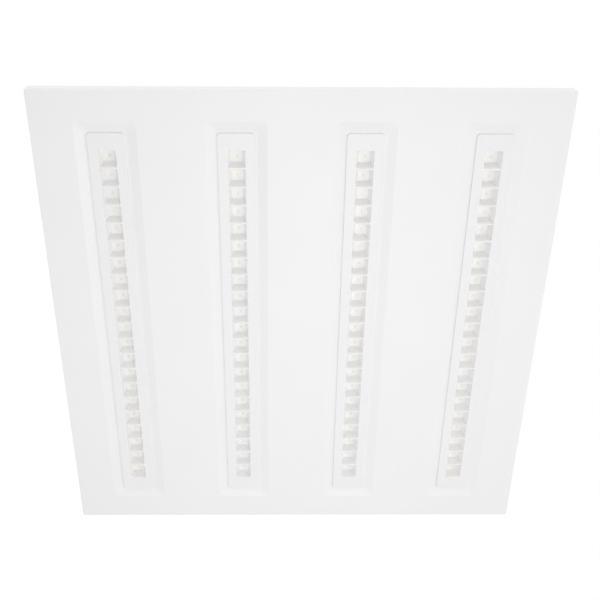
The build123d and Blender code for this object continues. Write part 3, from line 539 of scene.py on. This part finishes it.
# Hanger brackets: four Z-shaped brackets folded from galvanised strip, each held by two screws. Hot dip
# leaves a spangle of dull and bright crystals about a centimetre across. The frost on the crystals is too fine
# to show, so it is drawn 1.5 mm wide.
crystal_width, frost_width, frost_depth = 9 * mm, 1.5 * mm, 0.006 * mm
galvanised, tree, shader, place = new_material("galvanised_steel_strip")
crystal = add(tree, "TexVoronoi", {"Vector": place, "Scale": 1 / crystal_width})
frost = add(tree, "TexNoise", {"Vector": place, "Scale": 1 / frost_width, "Detail": 2.0})
facet = add(tree, "SeparateColor", {"Color": crystal.outputs["Color"]})
spangle = add(tree, "Mix", {
    "data_type": "RGBA", 0: facet.outputs[0], 6: srgb("#B4B7BA"), 7: srgb("#CDD0D2"),
})
sheen = add(tree, "MapRange", {"Value": facet.outputs[1], "To Min": 0.32, "To Max": 0.52})
feed(tree, shader, spangle.outputs[2], sheen.outputs["Result"], frost.outputs["Fac"], frost_depth)
shader.inputs["Metallic"].default_value = 1.0
clothe(galvanised, *[f"hanger_bracket_{n}" for n in (1, 2, 3, 4)])
hanger_x, hanger_y, hanger_step = 243.5 * mm, 222.5 * mm, 6 * mm
plate_tip = 11.0 * mm
hanger_places = [
    (x, y + step)
    for x in (-hanger_x, hanger_x) for y in (-hanger_y, hanger_y) for step in (-hanger_step, hanger_step)
]
pan_screws("hanger_screws", size=4.0 * mm, seat=15.7 * mm, tip=plate_tip, places=hanger_places)


# Driver case: a polycarbonate box and cover, screwed to the back plate by its ears. The terminal box and its
# lid are moulded in the same plastic. Its spark-eroded texture spreads the highlights, and its white is a
# touch greyer than the powder coat, so that the driver stands out from the plate.
case_plastic = moulded("textured_polycarbonate", "#E8E8E5", "#E2E2DF", 0.7 * mm, 0.46, 0.60)
clothe(case_plastic, "driver_case", "driver_cover", "terminal_box", "terminal_lid")
case_places = [(x, y) for x in (-39 * mm, 39 * mm) for y in (-85 * mm, -23 * mm, 87 * mm)]
pan_screws("case_screws", size=4.0 * mm, seat=17.2 * mm, tip=plate_tip, places=case_places)
cover_places = [(x, y) for x in (-30.5 * mm, 30.5 * mm) for y in (-48.5 * mm, 112.5 * mm)]
pan_screws("cover_screws", size=3.0 * mm, seat=44.2 * mm, tip=33.2 * mm, places=cover_places)


# Driver board: green glass laminate that carries the power supply, held by four screws to bosses in the case.
# Its cloth shows faintly through the glossy solder mask. Real yarns lie about 0.5 mm apart, too close to
# show, so they are drawn 1.9 mm apart.
circuit_face = 21.8 * mm
yarn_pitch = 1.885 * mm

# A wave's bands repeat every pi / 10 of its scaled coordinate, a diagonal one's every pi / 5 along an axis.
band_turn = pi / 10
laminate, tree, shader, place = new_material("green_solder_mask_on_laminate")
warp = add(tree, "TexWave", {"Vector": place, "Scale": band_turn / yarn_pitch, "bands_direction": "X"})
weft = add(tree, "TexWave", {"Vector": place, "Scale": band_turn / yarn_pitch, "bands_direction": "Y"})
cloth = add(tree, "Math", {"operation": "MULTIPLY", 0: warp.outputs["Fac"], 1: weft.outputs["Fac"]})
green = add(tree, "Mix", {
    "data_type": "RGBA", 0: cloth.outputs[0], 6: srgb("#1E6A38"), 7: srgb("#2B7E47"),
})
mask = add(tree, "MapRange", {"Value": cloth.outputs[0], "To Min": 0.26, "To Max": 0.38})
feed(tree, shader, green.outputs[2], mask.outputs["Result"], cloth.outputs[0], weave_depth)
clothe(laminate, "driver_board")
board_corners = [(x, y) for x in (-25 * mm, 25 * mm) for y in (-36 * mm, 92 * mm)]
pan_screws("circuit_screws", size=3.0 * mm, seat=circuit_face, tip=16.2 * mm, places=board_corners)


# Pieces on the driver board: a sintered ferrite core round a wire-wound nylon bobbin, a ring choke, a pair of
# capacitors in shrunk sleeves, one in a moulded case, an extruded heat sink, and nylon headers for the leads.

# Ferrite is a dull charcoal, the sleeves are glossy and nearly black with a pale stripe, the film case is a
# smooth yellow, the wire is warm and bright, and the aluminium is a pale satin grey.
ferrite = moulded("sintered_ferrite", "#3A3A3D", "#2B2B2E", 0.6 * mm, 0.55, 0.72)
sleeve = moulded("shrunk_sleeve", "#26262C", "#1A1A1F", 1.2 * mm, 0.20, 0.30)
sleeve_stripe = moulded("printed_sleeve_stripe", "#C9CACC", "#BFC0C3", 1.2 * mm, 0.22, 0.32)
film_case = moulded("moulded_film_case", "#E3C53B", "#D6B52A", 0.6 * mm, 0.28, 0.38)
copper = plated("enamelled_copper_wire", "#D08A45", "#A4581F", 1.5 * mm, 0.25, 0.40)
sink_metal = plated("extruded_aluminium", "#D6D8D9", "#C4C6C8", 0.9 * mm, 0.30, 0.42)
clothe(ferrite, "transformer_core")
clothe(film_case, "film_capacitor")
clothe(sink_metal, "heat_sink")

header_size, header_edge = (18 * mm, 9 * mm, 9 * mm), 0.6 * mm
header_top = circuit_face + header_size[2]
well_radius, well_depth, well_step = 1.8 * mm, 6 * mm, 5.5 * mm
header_groove = (0.8 * mm, 2 * header_size[1], 1.2 * mm)
input_place, output_place = Vector((-5.5 * mm, -34.5 * mm)), Vector((0, 90.5 * mm))
header = start_box("input_header_moulded", header_size, (*input_place, circuit_face + header_size[2] / 2))
pick(header, "EDGE", lambda m, e: m.z > header_top - hair)
bevel(header_edge, 2)
for side in (-1, 1):
    well_middle = (input_place.x + side * well_step, input_place.y, header_top)
    carve(header, start_rod("screw_well", 24, well_radius, well_depth, well_middle))
carve(header, start_box("groove", header_groove, (*input_place, header_top)))
finish(header, nylon)
output_header = twin(header, "output_header_moulded", (*(output_place - input_place), 0))
for piece, node in ((header, "input_header"), (output_header, "output_header")):
    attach(piece, "housing")
    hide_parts(node)

coil_width, coil_rise, coil_length, coil_level = 18.2 * mm, 19.2 * mm, 15.4 * mm, 31.4 * mm
coil_near, coil_corner = 20.3 * mm, 2.4 * mm
leg_width, leg_height = 8.6 * mm, 9.6 * mm
outside_x, outside_z = 0.51 * leg_width, 0.51 * leg_height
flange = 1.2 * mm
turn_count = 10
turn_pitch = (coil_length - 2 * flange) / turn_count
ridge, valley = 0.93, 0.89
coil_end = (0, coil_near, coil_level)
coil_middle = (0, coil_near + coil_length / 2, coil_level)
coil = start(
    "transformer_coil_wound", bpy.ops.mesh.primitive_plane_add, size=1, location=coil_end,
    rotation=(pi / 2, 0, 0),
)
resize(coil_width, 1, coil_rise, coil_end)
bevel(coil_corner, 4, "VERTICES")
extrude(y=flange)
extrude()
resize(valley, 1, valley, coil_end)
for turn in range(turn_count):
    for last, scale in ((valley, ridge), (ridge, ridge), (ridge, valley)):
        extrude(y=turn_pitch / 3)
        resize(scale / last, 1, scale / last, coil_end)
extrude()
resize(1 / valley, 1, 1 / valley, coil_end)
extrude(y=flange)
bpy.ops.mesh.select_all(action="SELECT")
bpy.ops.mesh.normals_make_consistent(inside=False)
carve(coil, start_box("leg_hole", (leg_width, 2 * coil_length, leg_height), coil_middle))
for material in (nylon, copper):
    coil.data.materials.append(material)
for face in coil.data.polygons:
    along = abs(face.center.y - coil_middle[1])
    outside = abs(face.center.x) > outside_x or abs(face.center.z - coil_level) > outside_z
    face.material_index = int(outside and along < coil_length / 2 - flange - hair)
finish(coil)
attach(coil, "housing")
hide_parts("transformer_coil")

choke_place = (-14 * mm, -8 * mm, 26.3 * mm)
choke_radius, choke_bore, choke_height = 10 * mm, 4.5 * mm, 9 * mm
wire = 0.9 * mm
turn_room, turns_a_side = 30, 12
section = (choke_radius - choke_bore) / 2
stretch = choke_height / (2 * section)
choke = start(
    "filter_choke_wound", bpy.ops.mesh.primitive_torus_add, major_segments=60, minor_segments=16,
    major_radius=choke_bore + section, minor_radius=section - wire,
)
resize(1, 1, stretch)
loop = start(
    "wire_turn", bpy.ops.mesh.primitive_torus_add, major_segments=20, minor_segments=8,
    major_radius=section - wire / 2, minor_radius=wire / 2, rotation=(pi / 2, 0, 0),
)
resize(1, 1, stretch)
bpy.ops.mesh.select_all(action="SELECT")
bpy.ops.transform.translate(value=(choke_bore + section, 0, 0))
bpy.ops.object.mode_set(mode="OBJECT")
for piece, material in ((choke, ferrite), (loop, copper)):
    piece.data.materials.append(material)
turns = [side * pi + number * 2 * pi / turn_room for side in (0, 1) for number in range(turns_a_side)]
loops = [loop]
for turn in turns[1:]:
    other = twin(loop, "wire_turn", (0, 0, 0))
    other.data.transform(Matrix.Rotation(turn, 4, "Z"))
    loops.append(other)
join(choke, *loops)
choke.data.transform(Matrix.Translation(choke_place))
finish(choke, angle=60)
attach(choke, "housing")
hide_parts("filter_choke")

# A can's steps upwards, each a rise and a scale: the rolled groove above its foot, and its rounded shoulder.
can_foot = 1.6 * mm
groove_steps = ((0.5 * mm, 0.95), (0.6 * mm, 1.0), (0.5 * mm, 1 / 0.95))
shoulder_steps = ((0.6 * mm, 0.985), (0.4 * mm, 0.96))
sleeve_lip, end_sink = 1.1 * mm, 0.25 * mm
vent_width, vent_taper = 0.5 * mm, 0.98
stripe_facing, stripe_low = 0.93, 3.2 * mm


def sleeved_can(node, x, y, diameter, low, height):
    """Forms a sleeved can with a rolled groove, a bare end and its cross vent."""
    can = start_rod(node + "_sleeved", 48, diameter / 2, can_foot, (0, 0, can_foot / 2))
    pick(can, "FACE", lambda m, f: f.normal.z > facing)
    straight = height - can_foot - sum(step for step, scale in groove_steps + shoulder_steps)
    for step, scale in (*groove_steps, (straight, 1.0), *shoulder_steps):
        extrude(z=step)
        resize(scale, scale, 1)
    bpy.ops.mesh.inset(thickness=sleeve_lip)
    extrude(z=-end_sink)
    bpy.ops.object.mode_set(mode="OBJECT")
    for material in (sleeve, sink_metal, sleeve_stripe):
        can.data.materials.append(material)
    for face in can.data.polygons:
        bare = face.normal.z > facing and face.center.xy.length < hair
        striped = face.normal.x > stripe_facing and face.center.z > stripe_low
        face.material_index = 1 if bare else 2 if striped else 0
    for turn in (0, pi / 2):
        vent_size = (diameter / 2, vent_width, vent_width)
        blade = start_box("vent_blade", vent_size, (0, 0, height - end_sink), turn)
        pick(blade, "FACE", lambda m, f: f.normal.z < -facing)
        resize(vent_taper, vent_taper, 1)
        carve(can, blade)
    can.data.transform(Matrix.Translation((x, y, low)))
    finish(can)
    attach(can, "housing")
    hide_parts(node)


sleeved_can("bulk_capacitor", x=14 * mm, y=4 * mm, diameter=16 * mm, low=circuit_face, height=19 * mm)
sleeved_can("output_capacitor", x=-14 * mm, y=58 * mm, diameter=12.5 * mm, low=circuit_face, height=18 * mm)


# Terminal box: a nylon block with three orange release buttons under the hinged lid. The mains cable comes in
# through a bush of deep matt black rubber, and the earth lead, striped green and yellow, goes to a tag on the
# back plate whose tin is a warm, bright grey.
rubber = moulded("moulded_rubber", "#2A2A2A", "#202020", 0.5 * mm, 0.66, 0.82)
button_plastic = moulded("orange_button_plastic", "#EB7C2B", "#E06D1C", 0.5 * mm, 0.26, 0.36)
tinned = plated("tinned_brass", "#DAD8D0", "#C8C6BD", 0.5 * mm, 0.26, 0.38)
stripe_pitch, skin_width, skin_depth = 25.13 * mm, 0.8 * mm, 0.006 * mm
earth_pvc, tree, shader, place = new_material("green_and_yellow_pvc")
stripe = add(tree, "TexWave", {
    "Vector": place, "Scale": 2 * band_turn / stripe_pitch, "bands_direction": "DIAGONAL",
})
edge = add(tree, "MapRange", {"Value": stripe.outputs["Fac"], "From Min": 0.45, "From Max": 0.55})
skin = add(tree, "TexNoise", {"Vector": place, "Scale": 1 / skin_width, "Detail": 2.0})
paint = add(tree, "Mix", {
    "data_type": "RGBA", 0: edge.outputs["Result"], 6: srgb("#3F8F2C"), 7: srgb("#E0CC3A"),
})
wax = add(tree, "MapRange", {"Value": skin.outputs["Fac"], "To Min": 0.38, "To Max": 0.50})
feed(tree, shader, paint.outputs[2], wax.outputs["Result"], skin.outputs["Fac"], skin_depth)
clothe(button_plastic, "release_button_live", "release_button_neutral", "release_button_earth")
clothe(rubber, "cable_bush", "outlet_bush")
clothe(pale_pvc, "mains_leads")
clothe(earth_pvc, "earth_lead")
clothe(tinned, "earth_tag")

block_size, block_edge = (36 * mm, 20 * mm, 15 * mm), 0.5 * mm
block_middle, block_foot = -74 * mm, 16.2 * mm
block_front, block_top = block_middle - block_size[1] / 2, block_foot + block_size[2]
lug_size, lug_place, lug_bore = (52 * mm, 8 * mm, 3 * mm), 22 * mm, 3 * mm
lug_round = 0.49 * lug_size[1]
pole_places = (-11 * mm, 0, 11 * mm)
slot_size = (5.6 * mm, 5.6 * mm, 14.6 * mm)
bore, bore_level, bore_depth = 4.4 * mm, 21.2 * mm, 9 * mm
funnel, funnel_flare = 0.9 * mm, 1.35
groove_place, groove_width, groove_depth = 5.5 * mm, 0.8 * mm, 1.4 * mm
block = start_box("terminal_block_moulded", block_size, (0, block_middle, block_foot + block_size[2] / 2))
pick(block, "EDGE", lambda m, e: m.z > block_top - hair)
bevel(block_edge, 2)
lugs = start_box("lugs", lug_size, (0, block_middle, block_foot + lug_size[2] / 2))
pick(lugs, "EDGE", lambda m, e: rise(e) > mm)
bevel(lug_round, 8)
carve(block, lugs, "UNION")
for x in pole_places:
    carve(block, start_box("button_slot", slot_size, (x, block_middle, block_top)))
    bore_middle = (x, block_front + (bore_depth + funnel) / 2, bore_level)
    hole = start_rod("wire_hole", 32, bore / 2, bore_depth - funnel, bore_middle, pi / 2)
    pick(hole, "FACE", lambda m, f: f.normal.y < -facing)
    extrude(y=-funnel)
    resize(funnel_flare, 1, funnel_flare, (x, 0, bore_level))
    extrude(y=-funnel)
    carve(block, hole)
top_groove = (groove_width, 2 * block_size[1], groove_depth)
front_groove = (groove_width, groove_depth, 2 * (block_size[2] - lug_size[2]))
for x in (-groove_place, groove_place):
    carve(block, start_box("top_groove", top_groove, (x, block_middle, block_top)))
    carve(block, start_box("front_groove", front_groove, (x, block_front, block_top)))
lug_places = [(-lug_place, block_middle), (lug_place, block_middle)]
for x, y in lug_places:
    lug_middle = (x, y, block_foot + lug_size[2] / 2)
    carve(block, start_rod("lug_hole", 24, lug_bore / 2, 2 * lug_size[2], lug_middle))
finish(block, nylon)
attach(block, "housing")
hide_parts("terminal_block")
pan_screws("lug_screws", size=3.0 * mm, seat=block_foot + lug_size[2], tip=plate_tip, places=lug_places)
pan_screws("earth_screw", size=4.0 * mm, seat=17.0 * mm, tip=plate_tip, places=[(28 * mm, -95 * mm)])


# Stage: a plain pale floor under the hanging light, soft lamps below it, to its right, in front of it and
# behind its back, a white world, and the camera, which stands below the near edge and looks up.
floor_size, floor_level = 60, -2.5
cloud_width = 667 * mm
lamp_target, lamp_spread = Vector((0, 0, 0)), radians(70)
bpy.ops.object.select_all(action="DESELECT")
bpy.ops.mesh.primitive_plane_add(size=floor_size, location=(0, 0, floor_level))
floor = bpy.context.object
floor.name = "floor"
floor_paint, tree, shader, place = new_material("pale_floor")
cloud = add(tree, "TexNoise", {"Vector": place, "Scale": 1 / cloud_width, "Detail": 2.0})
pale = add(tree, "Mix", {
    "data_type": "RGBA", 0: cloud.outputs["Fac"], 6: srgb("#E1E1E1"), 7: srgb("#E5E5E5"),
})
view = add(tree, "LightPath", {}).outputs["Is Camera Ray"]
shown = add(tree, "Mix", {"data_type": "RGBA", 0: view, 6: pale.outputs[2], 7: srgb("#D6D7D8")})
tree.links.new(shown.outputs[2], shader.inputs["Base Color"])
shader.inputs["Roughness"].default_value = 0.9
floor.data.materials.append(floor_paint)

for name, spot, size, power in (
    ("key_lamp", (1.90, 0.20, -2.10), 1.2, 1.4),
    ("low_lamp", (0.12, 0.25, -1.60), 0.8, 1.04),
    ("front_lamp", (0.10, -3.00, -0.25), 1.2, 1.8),
    ("back_lamp", (-1.2, 1.0, 1.6), 1.2, 1.3),
):
    lamp_data = bpy.data.lights.new(name, "AREA")
    lamp_data.size = size
    lamp_data.spread = lamp_spread
    lamp_data.energy = power
    lamp = bpy.data.objects.new(name, lamp_data)
    lamp.location = spot
    lamp.rotation_euler = (lamp_target - lamp.location).to_track_quat("-Z", "Y").to_euler()
    lamp.visible_camera = False
    bpy.context.scene.collection.objects.link(lamp)

level_below, level_above = 1.02, 0.86
world = bpy.data.worlds.new("studio")
world.use_nodes = True
bpy.context.scene.world = world
tree = world.node_tree
soft = tree.nodes["Background"]
soft.inputs["Color"].default_value = srgb("#FFFFFF")
overhead = add(tree, "SeparateXYZ", {0: add(tree, "TexCoord", {}).outputs["Generated"]})
level = add(tree, "MapRange", {"Value": overhead.outputs["Z"], "To Min": level_below, "To Max": level_above})
tree.links.new(level.outputs["Result"], soft.inputs["Strength"])
white = add(tree, "Background", {"Color": srgb("#FFFFFF"), "Strength": 1.0})
path = add(tree, "LightPath", {}).outputs
seen = add(tree, "Math", {"operation": "MAXIMUM", 0: path["Is Camera Ray"], 1: path["Is Glossy Ray"]})
direct = add(tree, "Math", {"operation": "MAXIMUM", 0: seen.outputs[0], 1: path["Is Transmission Ray"]})
both = add(tree, "MixShader", {0: direct.outputs[0], 1: soft.outputs[0], 2: white.outputs[0]})
tree.links.new(both.outputs[0], tree.nodes["World Output"].inputs["Surface"])

camera_place = Vector((-0.02773, -0.50143, -0.87631))
camera_data = bpy.data.cameras.new("photo_camera")
camera_data.sensor_width = 36.0
camera_data.lens = 48.892
camera_data.shift_x = 0.02403
camera_data.clip_start, camera_data.clip_end = 0.01, 100.0
camera = bpy.data.objects.new("photo_camera", camera_data)
right = Vector((0.99993, -0.00668, -0.00988)).normalized()
ahead = Vector((0.01185, 0.4628, 0.88638)).normalized()
up = right.cross(ahead).normalized()
right = ahead.cross(up)
camera_turn = Matrix((right, up, -ahead)).transposed().to_4x4()
camera.matrix_world = Matrix.Translation(camera_place) @ camera_turn
bpy.context.scene.collection.objects.link(camera)
bpy.context.scene.camera = camera
bpy.context.scene.view_settings.view_transform = "Standard"
